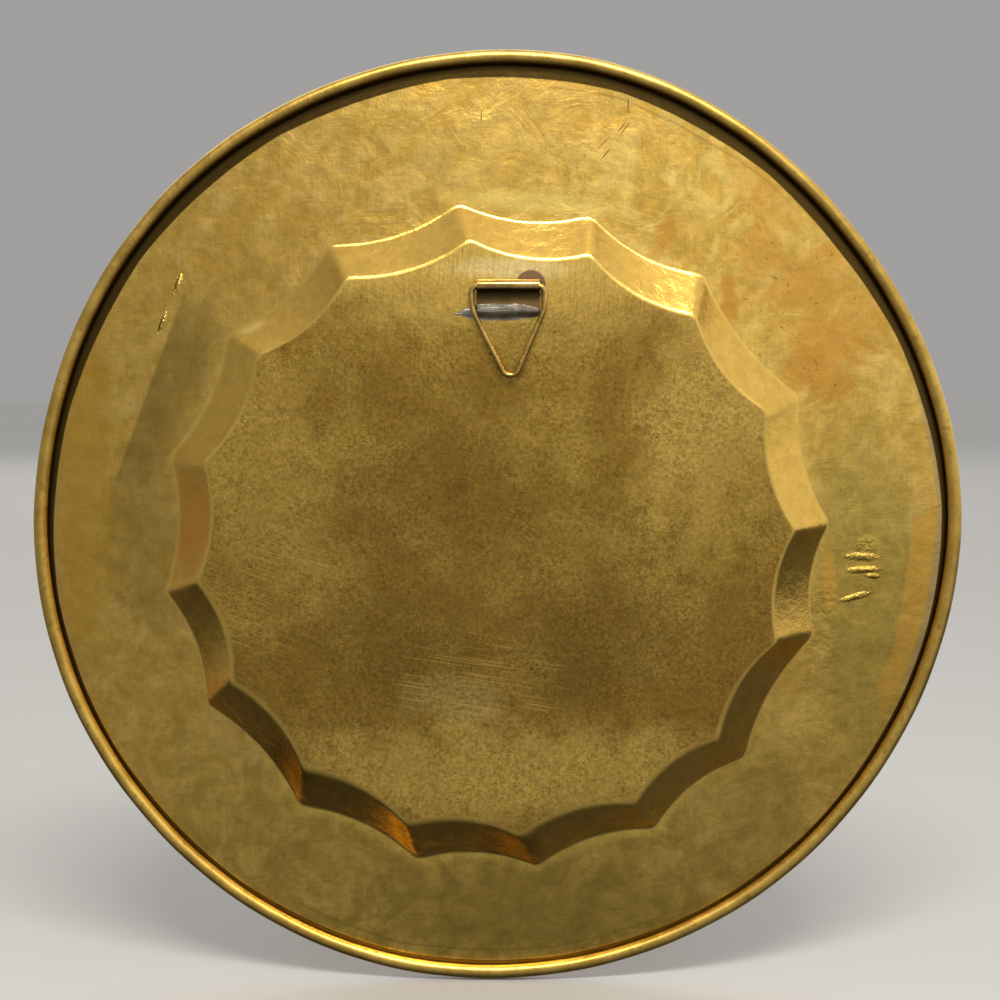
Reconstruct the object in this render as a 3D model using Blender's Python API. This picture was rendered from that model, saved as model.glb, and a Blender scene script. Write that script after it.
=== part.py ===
"""Round brass wall plate, with its hanging ring.

One pressed sheet makes the flange, the sixteen-pointed star well and the rolled rim.
A brass strap soldered to the back of the well holds a bent wire ring.
Metres, +Z up. The back, which goes to the wall, faces +Y and the enamelled front -Y.
The origin is the middle of the knuckle that the ring turns in.
"""

import math

import bmesh
import bpy
from mathutils import Vector

MM = 0.001

# The plate. Heights run towards the back, from the flange at the foot of the star.
PLATE_RADIUS = 127.0 * MM
SHEET = 0.9 * MM
RIM_ROLL_RADIUS = 1.9 * MM
FLANGE_DROP = 4.0 * MM
WELL_DEPTH = 7.6 * MM
WELL_RADIUS = 80.5 * MM
WALL_RUN = 10.4 * MM
WELL_OFF_CENTRE = 4.1 * MM
WELL_EDGE_FILLET = 1.6 * MM
WELL_FOOT_FILLET = 2.2 * MM

# The star. Points are struck by hand: their directions run clockwise, seen from the back.
EDGE_POINTS_DEG = (-4.5, 18.5, 41.5, 64, 87.5, 109.5, 131.5, 152,
                   175, 197, 220, 242, 262.5, 285.5, 308.5, 331)
FOOT_POINTS_DEG = (-6, 16.5, 38, 64.5, 87, 106.5, 131, 151,
                   172.5, 193.5, 216, 240, 261, 284.5, 307.5, 331)
SCALLOP_DEPTH = 3.1 * MM
SCALLOP_STEPS = 6

# The rim is a little out of round: waves to the turn, height and first crest.
RIM_WAVES = ((2, 0.42 * MM, 16), (3, 0.32 * MM, -12), (4, 0.30 * MM, 5),
             (5, 0.23 * MM, 18), (6, 0.26 * MM, 19))

# The hanger, measured from the top of the well's edge and from the star's middle line.
EDGE_TO_KNUCKLE = 12.5 * MM
HANGER_SIDE = 3.8 * MM
WIRE_RADIUS = 0.7 * MM
RING_CLEARANCE = 0.3 * MM
STRIP = 0.75 * MM
STRAP_WIDTH = 16.5 * MM
LEAF_LENGTH = 6.6 * MM
KNUCKLE_TURN_DEG = 288
SEAT_GAP = 0.3 * MM

# The ring: its shoulders stand past the strap's ends, and its tip hangs a little to one side.
RING_END_ROOM = 1.65 * MM
RING_SHOULDER_IN = 0.4 * MM
RING_SHOULDER_DOWN = 6.2 * MM
RING_LENGTH = 26.6 * MM
RING_TIP_SIDE = 0.8 * MM
RING_CORNER = 2.1 * MM
RING_SHOULDER_BEND = 12.0 * MM
RING_TIP_BEND = 2.3 * MM

# The solder: a flat drop along the leaf's end, with a longer tail on one side.
SOLDER_HALF_LENGTH = 12.2 * MM
SOLDER_HALF_WIDTH = 1.9 * MM
SOLDER_SIDE = 2.9 * MM
SOLDER_BELOW_LEAF = 0.6 * MM

BORE_RADIUS = WIRE_RADIUS + RING_CLEARANCE
KNUCKLE_RADIUS = BORE_RADIUS + STRIP
WELL_BACK = -(KNUCKLE_RADIUS + SEAT_GAP)
STAR_Z = -(WELL_RADIUS - EDGE_TO_KNUCKLE)
FOOT_RADIUS = WELL_RADIUS + WALL_RUN
ROLL_CENTRE_RADIUS = PLATE_RADIUS - RIM_ROLL_RADIUS


def clear_scene():
    for obj in list(bpy.data.objects):
        bpy.data.objects.remove(obj, do_unlink=True)


def new_collection(name):
    collection = bpy.data.collections.new(name)
    bpy.context.scene.collection.children.link(collection)
    return collection


def brass(name, color, roughness):
    material = bpy.data.materials.new(name)
    material.use_nodes = True
    shader = material.node_tree.nodes["Principled BSDF"]
    shader.inputs["Base Color"].default_value = (*color, 1.0)
    shader.inputs["Metallic"].default_value = 1.0
    shader.inputs["Roughness"].default_value = roughness
    return material


def place(obj, collection, material, parent):
    for owner in list(obj.users_collection):
        owner.objects.unlink(obj)
    collection.objects.link(obj)
    obj.data.materials.clear()
    obj.data.materials.append(material)
    obj.parent = parent


def empty_at(name, location, collection, parent=None):
    empty = bpy.data.objects.new(name, None)
    empty.location = location
    empty.parent = parent
    collection.objects.link(empty)
    return empty


def fillet(before, corner, after, radius, steps):
    """Points of an arc that rounds a corner of a flat outline."""
    to_before = (before - corner).normalized()
    to_after = (after - corner).normalized()
    half = to_before.angle(to_after) / 2
    reach = radius / math.tan(half)
    middle = corner + (to_before + to_after).normalized() * (radius / math.sin(half))
    start = corner + to_before * reach - middle
    end = corner + to_after * reach - middle
    sweep = start.angle(end)
    points = []
    for step in range(steps + 1):
        share = step / steps
        weight_start = math.sin((1 - share) * sweep) / math.sin(sweep)
        weight_end = math.sin(share * sweep) / math.sin(sweep)
        points.append(middle + start * weight_start + end * weight_end)
    return points


# Star, rim and the outlines between them

def direction(degrees):
    """Unit vector clockwise from the top, seen from the back, as plate x and z."""
    turn = math.radians(degrees)
    return Vector((-math.sin(turn), math.cos(turn)))


def star(radius, point_degrees):
    """Outline with a sharp point at each direction and a scallop sunk between two."""
    outline = []
    count = len(point_degrees)
    for index, degrees in enumerate(point_degrees):
        turn_on = 360 if index == count - 1 else 0
        here = direction(degrees) * radius
        there = direction(point_degrees[(index + 1) % count] + turn_on) * radius
        inward = -(here + there).normalized()
        for step in range(SCALLOP_STEPS):
            share = step / SCALLOP_STEPS
            sink = 4 * share * (1 - share) * SCALLOP_DEPTH
            outline.append(here.lerp(there, share) + inward * sink)
    return outline


def rim(radius, guide):
    """Outline around the plate's own centre, with one point for each of the guide's."""
    outline = []
    for point in guide:
        turn = math.atan2(-point.x, point.y)
        wave = 0.0
        for count, height, crest in RIM_WAVES:
            wave += height * math.cos(count * (turn - math.radians(crest)))
        toward = direction(math.degrees(turn))
        outline.append(toward * (radius + wave) + Vector((0, WELL_OFF_CENTRE)))
    return outline


def plate_outline(radius):
    """Outline of the sheet at one radius of its profile: star inside, round at the rim."""
    edge = star(WELL_RADIUS, EDGE_POINTS_DEG)
    foot = star(FOOT_RADIUS, FOOT_POINTS_DEG)
    star_end = FOOT_RADIUS + WELL_FOOT_FILLET
    round_start = ROLL_CENTRE_RADIUS - RIM_ROLL_RADIUS
    if radius <= WELL_RADIUS:
        return [point * (radius / WELL_RADIUS) for point in edge]
    if radius <= FOOT_RADIUS:
        share = (radius - WELL_RADIUS) / WALL_RUN
        return [inner.lerp(outer, share) for inner, outer in zip(edge, foot)]
    if radius <= star_end:
        return [point * (radius / FOOT_RADIUS) for point in foot]
    round_outline = rim(radius, foot)
    if radius >= round_start:
        return round_outline
    share = (radius - star_end) / (round_start - star_end)
    star_outline = [point * (radius / FOOT_RADIUS) for point in foot]
    return [inner.lerp(outer, share) for inner, outer in zip(star_outline, round_outline)]


# Profile of the sheet: x is the radius, y the height towards the back

def sheet_corners():
    """The well's edge, the star's foot and the flange's end, on the sheet's back."""
    return [Vector((WELL_RADIUS, WELL_DEPTH)), Vector((FOOT_RADIUS, 0.0)),
            Vector((ROLL_CENTRE_RADIUS, -FLANGE_DROP))]


def offset_corner(before, corner, after, distance):
    """A corner moved to the sheet's front by the sheet's thickness."""
    normal_in = (corner - before).normalized()
    normal_out = (after - corner).normalized()
    down_in = Vector((normal_in.y, -normal_in.x))
    down_out = Vector((normal_out.y, -normal_out.x))
    split = (down_in + down_out).normalized()
    return corner + split * (distance / split.dot(down_in))


def rolled_rim(front_height, steps=9):
    """The rolled edge, from where the flange's back meets it, over its top to its front."""
    meet = math.acos((RIM_ROLL_RADIUS - SHEET) / RIM_ROLL_RADIUS)
    points = []
    for step in range(steps + 1):
        turn = meet + (2 * math.pi - meet) * step / steps
        across = ROLL_CENTRE_RADIUS - RIM_ROLL_RADIUS * math.sin(turn)
        height = front_height + RIM_ROLL_RADIUS * (1 - math.cos(turn))
        points.append(Vector((across, height)))
    return points


def sheet_profile():
    """Back of the sheet from the well outwards, round the rim, and back along the front."""
    edge, foot, end = sheet_corners()
    centre = Vector((0.0, WELL_DEPTH))
    beyond = end + (end - foot)
    front_edge = offset_corner(centre, edge, foot, SHEET)
    front_foot = offset_corner(edge, foot, end, SHEET)
    front_end = offset_corner(foot, end, beyond, SHEET)
    front_centre = Vector((0.0, front_edge.y))
    back = fillet(centre, edge, foot, WELL_EDGE_FILLET + SHEET, 3)
    back += fillet(edge, foot, end, WELL_FOOT_FILLET, 3)
    front = fillet(front_end, front_foot, front_edge, WELL_FOOT_FILLET + SHEET, 2)
    front += fillet(front_foot, front_edge, front_centre, WELL_EDGE_FILLET, 2)
    return back + rolled_rim(front_end.y) + front


def close_end(mesh, ring):
    """Flat end of a loft, as a fan of faces around its middle."""
    middle = mesh.verts.new(sum((vertex.co for vertex in ring), Vector()) / len(ring))
    for here, there in zip(ring, ring[1:] + ring[:1]):
        mesh.faces.new((here, there, middle))


def loft(name, sections):
    """A closed skin through outlines of equal count, capped at both ends."""
    mesh = bmesh.new()
    rings = [[mesh.verts.new(point) for point in section] for section in sections]
    count = len(rings[0])
    for ring, following in zip(rings, rings[1:]):
        for index in range(count):
            after = (index + 1) % count
            mesh.faces.new((ring[index], ring[after], following[after], following[index]))
    close_end(mesh, rings[0])
    close_end(mesh, rings[-1])
    bmesh.ops.recalc_face_normals(mesh, faces=mesh.faces)
    data = bpy.data.meshes.new(name)
    mesh.to_mesh(data)
    mesh.free()
    return bpy.data.objects.new(name, data)


def make_plate(collection, parent):
    sections = []
    for knot in sheet_profile():
        sections.append([Vector((point.x, knot.y, point.y)) for point in plate_outline(knot.x)])
    obj = loft("plate", sections)
    place(obj, collection, brass("aged brass", (0.42, 0.29, 0.09), 0.38), parent)
    obj.location = (HANGER_SIDE, WELL_BACK - WELL_DEPTH, STAR_Z)
    obj.data.shade_smooth()
    obj.data.set_sharp_from_angle(angle=math.radians(35))
    return obj


# Hanger strap: a flat leaf that rolls round the ring's top bar

def strap_outline(steps=12):
    """Side view of the strip, as distance towards the plate and height."""
    turns = [math.radians(KNUCKLE_TURN_DEG) * step / steps for step in range(steps + 1)]
    outer = [Vector((math.cos(turn), math.sin(turn))) * KNUCKLE_RADIUS for turn in turns]
    inner = [Vector((math.cos(turn), math.sin(turn))) * BORE_RADIUS for turn in reversed(turns)]
    leaf = [Vector((BORE_RADIUS, -LEAF_LENGTH)), Vector((KNUCKLE_RADIUS, -LEAF_LENGTH))]
    return outer + inner + leaf


def make_strap(collection, parent):
    curve = bpy.data.curves.new("hanger_strap", "CURVE")
    curve.dimensions = "2D"
    curve.fill_mode = "BOTH"
    curve.extrude = STRAP_WIDTH / 2
    outline = strap_outline()
    spline = curve.splines.new("POLY")
    spline.points.add(len(outline) - 1)
    for knot, point in zip(spline.points, outline):
        knot.co = (point.x, point.y, 0, 1)
    spline.use_cyclic_u = True
    obj = bpy.data.objects.new("hanger_strap", curve)
    place(obj, collection, brass("strap brass", (0.30, 0.20, 0.07), 0.42), parent)
    # The outline's x turns to -Y and its y to +Z, so the strip's width runs along X.
    obj.rotation_euler = (math.radians(90), 0, math.radians(-90))
    return obj


# Hanging ring: one bent wire

def ring_route():
    shoulder = STRAP_WIDTH / 2 + RING_END_ROOM
    low_shoulder = shoulder - RING_SHOULDER_IN
    corners = [
        (Vector((shoulder, 0)), RING_CORNER),
        (Vector((low_shoulder, -RING_SHOULDER_DOWN)), RING_SHOULDER_BEND),
        (Vector((-RING_TIP_SIDE, -RING_LENGTH)), RING_TIP_BEND),
        (Vector((-low_shoulder, -RING_SHOULDER_DOWN)), RING_SHOULDER_BEND),
        (Vector((-shoulder, 0)), RING_CORNER),
    ]
    steps = (5, 4, 6, 4, 5)
    count = len(corners)
    route = []
    for index, (corner, radius) in enumerate(corners):
        before = corners[index - 1][0]
        after = corners[(index + 1) % count][0]
        route += fillet(before, corner, after, radius, steps[index])
    return route


def make_ring(collection, pivot):
    curve = bpy.data.curves.new("hanging_ring", "CURVE")
    curve.dimensions = "3D"
    curve.bevel_depth = WIRE_RADIUS
    curve.bevel_resolution = 3
    route = ring_route()
    spline = curve.splines.new("POLY")
    spline.points.add(len(route) - 1)
    for knot, point in zip(spline.points, route):
        knot.co = (point.x, 0, point.y, 1)
    spline.use_cyclic_u = True
    obj = bpy.data.objects.new("hanging_ring", curve)
    place(obj, collection, brass("ring wire", (0.38, 0.26, 0.09), 0.3), pivot)
    return obj


# Solder: a low drop round the leaf's end, cut flat below and cleared from the leaf

def box_cutter(name, low, high, collection, parent):
    size = high - low
    bpy.ops.mesh.primitive_cube_add(size=1, location=(low + high) / 2)
    cutter = bpy.context.object
    cutter.name = name
    cutter.scale = size
    for owner in list(cutter.users_collection):
        owner.objects.unlink(cutter)
    collection.objects.link(cutter)
    cutter.parent = parent
    cutter.hide_render = True
    cutter.display_type = "WIRE"
    return cutter


def make_solder(collection, cutters, parent):
    base = WELL_BACK + SEAT_GAP
    height = STRIP
    middle = Vector((SOLDER_SIDE, base, -(LEAF_LENGTH + SOLDER_BELOW_LEAF)))
    bpy.ops.mesh.primitive_uv_sphere_add(segments=28, ring_count=12, radius=1)
    obj = bpy.context.object
    obj.name = "solder_seam"
    for vertex in obj.data.vertices:
        across, deep, up = vertex.co
        vertex.co = (across * SOLDER_HALF_LENGTH, deep * height, up * SOLDER_HALF_WIDTH)
    obj.location = middle
    grey = brass("solder", (0.32, 0.30, 0.28), 0.5)
    place(obj, collection, grey, parent)
    reach = SOLDER_HALF_LENGTH + SOLDER_SIDE
    below = box_cutter("under_solder", Vector((-2 * reach, base - 2 * height, -4 * LEAF_LENGTH)),
                       Vector((2 * reach, base, 0)), cutters, parent)
    leaf_half = STRAP_WIDTH / 2 + SEAT_GAP
    leaf = box_cutter("leaf_room", Vector((-leaf_half, base - height, -(LEAF_LENGTH + SEAT_GAP))),
                      Vector((leaf_half, base + 2 * height, LEAF_LENGTH)), cutters, parent)
    for cutter in (below, leaf):
        cut = obj.modifiers.new(cutter.name, "BOOLEAN")
        cut.operation = "DIFFERENCE"
        cut.object = cutter
    return obj


def main():
    clear_scene()
    pieces = new_collection("wall_plate")
    cutters = new_collection("cutters")
    stand = empty_at("hanger", (0, 0, 0), pieces)
    pivot = empty_at("ring_pivot", (0, 0, 0), pieces, stand)
    make_plate(pieces, stand)
    make_strap(pieces, stand)
    make_solder(pieces, cutters, stand)
    make_ring(pieces, pivot)


main()
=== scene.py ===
"""Looks of the brass wall plate: fine pieces, their finishes, the floor, the light and the camera."""
import math

import bmesh
import bpy
import numpy as np
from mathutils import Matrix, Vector, noise


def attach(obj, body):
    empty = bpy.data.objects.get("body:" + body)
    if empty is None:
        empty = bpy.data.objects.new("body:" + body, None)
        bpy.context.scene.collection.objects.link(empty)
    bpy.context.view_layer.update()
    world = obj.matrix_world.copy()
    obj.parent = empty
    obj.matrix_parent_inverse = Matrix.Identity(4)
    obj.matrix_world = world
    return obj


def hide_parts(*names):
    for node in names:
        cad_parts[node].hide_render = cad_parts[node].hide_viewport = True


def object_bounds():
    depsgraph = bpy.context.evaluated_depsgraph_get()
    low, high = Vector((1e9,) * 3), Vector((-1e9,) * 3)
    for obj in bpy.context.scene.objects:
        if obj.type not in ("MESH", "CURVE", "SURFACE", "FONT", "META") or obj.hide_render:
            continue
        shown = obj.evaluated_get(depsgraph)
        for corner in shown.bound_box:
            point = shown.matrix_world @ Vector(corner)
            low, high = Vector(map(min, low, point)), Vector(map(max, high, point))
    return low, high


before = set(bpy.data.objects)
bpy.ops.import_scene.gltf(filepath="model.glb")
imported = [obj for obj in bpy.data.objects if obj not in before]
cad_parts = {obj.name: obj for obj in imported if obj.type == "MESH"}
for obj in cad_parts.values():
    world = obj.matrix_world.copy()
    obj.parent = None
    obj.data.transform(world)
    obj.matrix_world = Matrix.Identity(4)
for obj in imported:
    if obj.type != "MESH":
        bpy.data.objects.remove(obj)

cad_low, cad_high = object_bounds()

MM = 0.001

# The plate, as its solid has it. Heights run towards the back, from the foot of the star.
PLATE_RADIUS = 127.0 * MM
SHEET = 0.9 * MM
RIM_ROLL_RADIUS = 1.9 * MM
FLANGE_DROP = 4.0 * MM
WELL_DEPTH = 7.6 * MM
WELL_RADIUS = 80.5 * MM
WALL_RUN = 10.4 * MM
WELL_OFF_CENTRE = 4.1 * MM
EDGE_POINTS_DEG = (-4.5, 18.5, 41.5, 64, 87.5, 109.5, 131.5, 152,
                   175, 197, 220, 242, 262.5, 285.5, 308.5, 331)
FOOT_POINTS_DEG = (-6, 16.5, 38, 64.5, 87, 106.5, 131, 151,
                   172.5, 193.5, 216, 240, 261, 284.5, 307.5, 331)
SCALLOP_DEPTH = 3.1 * MM
RIM_WAVES = ((2, 0.42 * MM, 16), (3, 0.32 * MM, -12), (4, 0.30 * MM, 5),
             (5, 0.23 * MM, 18), (6, 0.26 * MM, 19))
EDGE_TO_KNUCKLE = 12.5 * MM
HANGER_SIDE = 3.8 * MM

# The hanger
WIRE_RADIUS = 0.7 * MM
BORE_RADIUS = 1.0 * MM
STRIP = 0.75 * MM
STRIP_SEEN = 0.71 * MM
STRAP_WIDTH = 16.5 * MM
LEAF_LENGTH = 6.6 * MM
KNUCKLE_TURN_DEG = 288
SEAT_GAP = 0.3 * MM
RING_END_ROOM = 1.65 * MM
RING_SHOULDER_IN = 0.4 * MM
RING_SHOULDER_DOWN = 6.2 * MM
RING_LENGTH = 26.6 * MM
RING_TIP_SIDE = 0.8 * MM
RING_CORNER = 2.1 * MM
RING_SHOULDER_BEND = 12.0 * MM
RING_TIP_BEND = 2.3 * MM

KNUCKLE_RADIUS = BORE_RADIUS + STRIP
WELL_BACK = -(KNUCKLE_RADIUS + SEAT_GAP)
STAR_Z = -(WELL_RADIUS - EDGE_TO_KNUCKLE)
FOOT_RADIUS = WELL_RADIUS + WALL_RUN
ROLL_CENTRE_RADIUS = PLATE_RADIUS - RIM_ROLL_RADIUS
RIM_MIDDLE = Vector((HANGER_SIDE, 0, STAR_Z + WELL_OFF_CENTRE))

# How finely the plate is made, and how far its surface strays from the true shape
STEPS_A_SCALLOP = 36
COLUMNS = STEPS_A_SCALLOP * len(EDGE_POINTS_DEG)
POINT_SOFTENING = 3
EDGE_FILLET = 2.5 * MM
SOFT_EDGE_FILLET = 4.6 * MM
SOFT_EDGE_DEG = 190
FOOT_FILLET = 2.7 * MM
SOFT_FOOT_FILLET = 5.0 * MM
SOFT_FOOT_DEG = 292
RIM_EASE = 0.12 * MM
FLANGE_DENT = 0.20 * MM
WELL_DENT = 0.10 * MM
SHEET_SMOOTH_DEG = 40
# Sectors of the flange's and the walls' materials, clockwise from the top as seen from the back
SECTORS = 6


# Scene helpers

def nothing_selected():
    if bpy.context.object and bpy.context.object.mode != "OBJECT":
        bpy.ops.object.mode_set(mode="OBJECT")
    bpy.ops.object.select_all(action="DESELECT")


def only(obj):
    nothing_selected()
    obj.select_set(True)
    bpy.context.view_layer.objects.active = obj


def settle(obj):
    """Leaves the object at the origin, unturned, with its place in its mesh."""
    only(obj)
    bpy.ops.object.transform_apply(location=True, rotation=True, scale=True)


def face_outwards():
    """Turns the normals of the mesh in edit mode outwards."""
    bpy.ops.mesh.select_all(action="SELECT")
    bpy.ops.mesh.normals_make_consistent(inside=False)


def smooth_step(low, high, value):
    share = min(max((value - low) / (high - low), 0.0), 1.0)
    return share * share * (3 - 2 * share)


# Materials

class Term:
    """A number that changes over a surface. Sums and products of terms add Math nodes."""

    def __init__(self, web, socket):
        self.web = web
        self.socket = socket

    def __add__(self, other):
        return self.web.maths("ADD", self, other)

    def __radd__(self, other):
        return self.web.maths("ADD", other, self)

    def __sub__(self, other):
        return self.web.maths("SUBTRACT", self, other)

    def __rsub__(self, other):
        return self.web.maths("SUBTRACT", other, self)

    def __mul__(self, other):
        return self.web.maths("MULTIPLY", self, other)

    def __rmul__(self, other):
        return self.web.maths("MULTIPLY", other, self)

    def __truediv__(self, other):
        return self.web.maths("DIVIDE", self, other)

    def __abs__(self):
        return self.web.maths("ABSOLUTE", self)


class Web:
    """A node tree in the making."""

    def __init__(self, tree):
        self.tree = tree

    def feed(self, socket, value):
        if isinstance(value, Term):
            self.tree.links.new(value.socket, socket)
        else:
            socket.default_value = value

    def node(self, kind, settings=None, inputs=None):
        made = self.tree.nodes.new(kind)
        for key, value in (settings or {}).items():
            setattr(made, key, value)
        for key, value in (inputs or {}).items():
            self.feed(made.inputs[key], value)
        return made

    def term(self, kind, output, settings=None, inputs=None):
        return Term(self, self.node(kind, settings, inputs).outputs[output])

    def maths(self, operation, first, second=0.0):
        return self.term("ShaderNodeMath", 0, {"operation": operation}, {0: first, 1: second})

    def larger(self, first, second):
        return self.maths("MAXIMUM", first, second)

    def smaller(self, first, second):
        return self.maths("MINIMUM", first, second)

    def rise(self, value, low, high):
        """0 below low, 1 above high, smooth between. With low over high it falls instead."""
        settings = {"interpolation_type": "SMOOTHSTEP"}
        if low > high:
            return 1 - self.rise(value, high, low)
        inputs = {"Value": value, "From Min": low, "From Max": high}
        return self.term("ShaderNodeMapRange", "Result", settings, inputs)

    def blend(self, share, first, second):
        """Colour mix: first at 0, second at 1."""
        made = self.node("ShaderNodeMix", {"data_type": "RGBA"})
        for socket, value in zip((made.inputs[0], made.inputs[6], made.inputs[7]),
                                 (share, first, second)):
            if isinstance(value, tuple):
                value = (*value, 1.0)
            self.feed(socket, value)
        return Term(self, made.outputs[2])

    def brighten(self, color, by):
        """A colour times a number that changes over the surface."""
        settings = {"operation": "SCALE"}
        return self.term("ShaderNodeVectorMath", "Vector", settings, {"Vector": color, "Scale": by})


def apart(turn, other):
    """Degrees between two directions."""
    return abs((turn - other + 180) % 360 - 180)


# How far a ragged outline can carry a mark outwards, as a share of its size, and a face's width
RAGGED_REACH = 0.9
FACE_WIDTH = 2


def reaches_sector(sector, across, up, reach):
    """Whether a mark around a place on the plate comes into a sector."""
    away = math.hypot(across, up)
    if reach >= away:
        return True
    middle = (sector + 0.5) * 360 / SECTORS
    widened = 180 / SECTORS + math.degrees(math.asin(reach / away))
    return apart(math.degrees(math.atan2(across, up)), middle) <= widened


def tilted_axes(wide, high, tilt_deg):
    """Two axes across the plate's back, each divided by a size."""
    tilt = math.radians(tilt_deg)
    return (Vector((math.cos(tilt), 0, -math.sin(tilt))) / wide,
            Vector((math.sin(tilt), 0, math.cos(tilt))) / high)


def turned_middle(across, up, wide, high, tilt_deg):
    """A place given from the rim's middle, as seen from the back, along such axes."""
    middle = Vector((RIM_MIDDLE.x / MM - across, 0, RIM_MIDDLE.z / MM + up))
    along, upright = tilted_axes(wide, high, tilt_deg)
    return (along.dot(middle), 0, upright.dot(middle))


class Finish(Web):
    """A material on Object coordinates, in millimetres, for the whole piece or one sector."""

    def __init__(self, name, metallic=1.0, sector=None):
        self.sector = sector
        self.material = bpy.data.materials.new(name)
        self.material.use_nodes = True
        super().__init__(self.material.node_tree)
        self.shader = self.tree.nodes["Principled BSDF"]
        self.shader.inputs["Metallic"].default_value = metallic
        place = self.term("ShaderNodeTexCoord", "Object")
        per_mm = 1 / MM
        self.place = self.vectors("MULTIPLY", place, (per_mm, per_mm, per_mm))
        self.flat = self.vectors("MULTIPLY", place, (per_mm, 0, per_mm))

    def set(self, socket, value):
        self.feed(self.shader.inputs[socket], value)

    def own(self, name):
        """A number kept on the piece's own points."""
        return self.term("ShaderNodeAttribute", "Fac", {"attribute_name": name})

    def turned(self, wide, high, tilt_deg):
        """Places on the flat plate along two tilted axes, in units of two sizes."""
        if not tilt_deg:
            return self.vectors("MULTIPLY", self.flat, (1 / wide, 0, 1 / high))
        inputs = {}
        for name, axis in zip("XZ", tilted_axes(wide, high, tilt_deg)):
            dot = {"operation": "DOT_PRODUCT"}
            inputs[name] = self.term("ShaderNodeVectorMath", "Value", dot, {0: self.flat, 1: axis})
        return self.term("ShaderNodeCombineXYZ", 0, None, inputs)

    def vectors(self, operation, first, second):
        settings = {"operation": operation}
        return self.term("ShaderNodeVectorMath", "Vector", settings, {0: first, 1: second})

    def grain(self, size, detail=3.0, rough=0.5, vector=None, swirl=0.0):
        """Cloudy noise, 0 to 1, whose lumps are about a size in millimetres."""
        inputs = {"Vector": vector or self.place, "Scale": 1 / size,
                  "Detail": detail, "Roughness": rough, "Distortion": swirl}
        return self.term("ShaderNodeTexNoise", "Fac", None, inputs)

    def streaks(self, long, short, tilt_deg, detail=2.0):
        """Noise drawn out along a direction, seen from the back and tilted from the level."""
        return self.grain(1.0, detail, 0.5, self.turned(long, short, tilt_deg))

    def aside(self, across, up, tilt_deg):
        """Millimetres to the right of a tilted upright line, and up along it."""
        middle = turned_middle(across, up, -1, 1, tilt_deg)
        vector = self.vectors("SUBTRACT", self.turned(-1, 1, tilt_deg), middle)
        parts = self.node("ShaderNodeSeparateXYZ", None, {0: vector})
        return Term(self, parts.outputs["X"]), Term(self, parts.outputs["Z"])

    def patch(self, across, up, half_width, half_height, tilt_deg=0, ragged=None, edge=0.45):
        """A soft oval. across and up run from the rim's middle, as seen from the back."""
        reach = 1 + edge + (0 if ragged is None else RAGGED_REACH)
        if not self.touches(across, up, max(half_width, half_height) * reach + FACE_WIDTH):
            return 0.0
        middle = turned_middle(across, up, half_width, half_height, tilt_deg)
        inputs = {0: self.turned(half_width, half_height, tilt_deg), 1: middle}
        away = self.term("ShaderNodeVectorMath", "Value", {"operation": "DISTANCE"}, inputs)
        if ragged is not None:
            away = away + ragged
        return self.rise(away, 1 + edge, 1 - edge)

    def marks(self, table, ragged):
        """The strongest of the patches of a table."""
        strongest = 0.0
        for across, up, half_width, half_height, tilt, raggedness, edge, strength in table:
            outline = ragged * raggedness if raggedness else None
            mark = self.patch(across, up, half_width, half_height, tilt, outline, edge)
            strongest = self.larger(strongest, mark * strength)
        return strongest

    def touches(self, across, up, reach):
        """Whether a mark of this reach can show in the part that the material covers."""
        return self.sector is None or reaches_sector(self.sector, across, up, reach)

    def surface(self, color, rough, height, depth, strength):
        """The finished material, with a relief whose depth is in millimetres."""
        inputs = {"Height": height, "Distance": depth * MM, "Strength": strength}
        self.set("Normal", self.term("ShaderNodeBump", "Normal", None, inputs))
        self.set("Base Color", color)
        self.set("Roughness", rough)
        return self.material


# Colours, linear
BRASS = (0.80, 0.50, 0.105)
WORN_BRASS = (0.72, 0.425, 0.086)
OLIVE = (0.54, 0.38, 0.08)
RUST_ORANGE = (0.66, 0.31, 0.045)
TAN_ORANGE = (0.84, 0.46, 0.075)
DULL_BROWN = (0.34, 0.20, 0.04)
DARK_BROWN = (0.13, 0.075, 0.02)
FLANGE_TAN = (0.75, 0.465, 0.09)
FLANGE_GOLD = (0.84, 0.55, 0.135)
FLANGE_CLOUD = (0.71, 0.43, 0.078)
PALE_GOLD = (0.93, 0.67, 0.18)
LOW_GOLD = (0.68, 0.455, 0.095)
OLIVE_STAIN = (0.55, 0.385, 0.08)
FOOT_HIGHLIGHT_GOLD = (1.0, 0.69, 0.14)
BAND_ORANGE = (0.70, 0.39, 0.05)
SHADE_BROWN = (0.36, 0.235, 0.05)
STAIN_BROWN = (0.40, 0.26, 0.052)
CREST_HIGHLIGHT_GOLD = (1.0, 0.74, 0.19)
WELL_DARK = (0.355, 0.205, 0.036)
WELL_LIGHT = (0.475, 0.302, 0.06)
WELL_SPOT = (0.30, 0.165, 0.03)
WELL_GOLD = (0.80, 0.54, 0.125)
WELL_SHADE = (0.22, 0.12, 0.025)
HIGHLIGHT_AND_RUBBED_GOLD = (0.95, 0.71, 0.28)
WALL_SHADE_BROWN = (0.30, 0.18, 0.035)
EDGE_HIGHLIGHT_GOLD = (0.96, 0.67, 0.17)
CORNER_HIGHLIGHT_GOLD = (1.0, 0.74, 0.20)
BEAD_BROWN = (0.57, 0.36, 0.072)
BEAD_GOLD = (0.74, 0.485, 0.11)
PALE_TAN = (0.92, 0.62, 0.14)
PENUMBRA_GREY = (0.50, 0.37, 0.19)
MAUVE = (0.20, 0.115, 0.07)
RIM_SHADOW_BROWN = (0.095, 0.058, 0.014)

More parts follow.
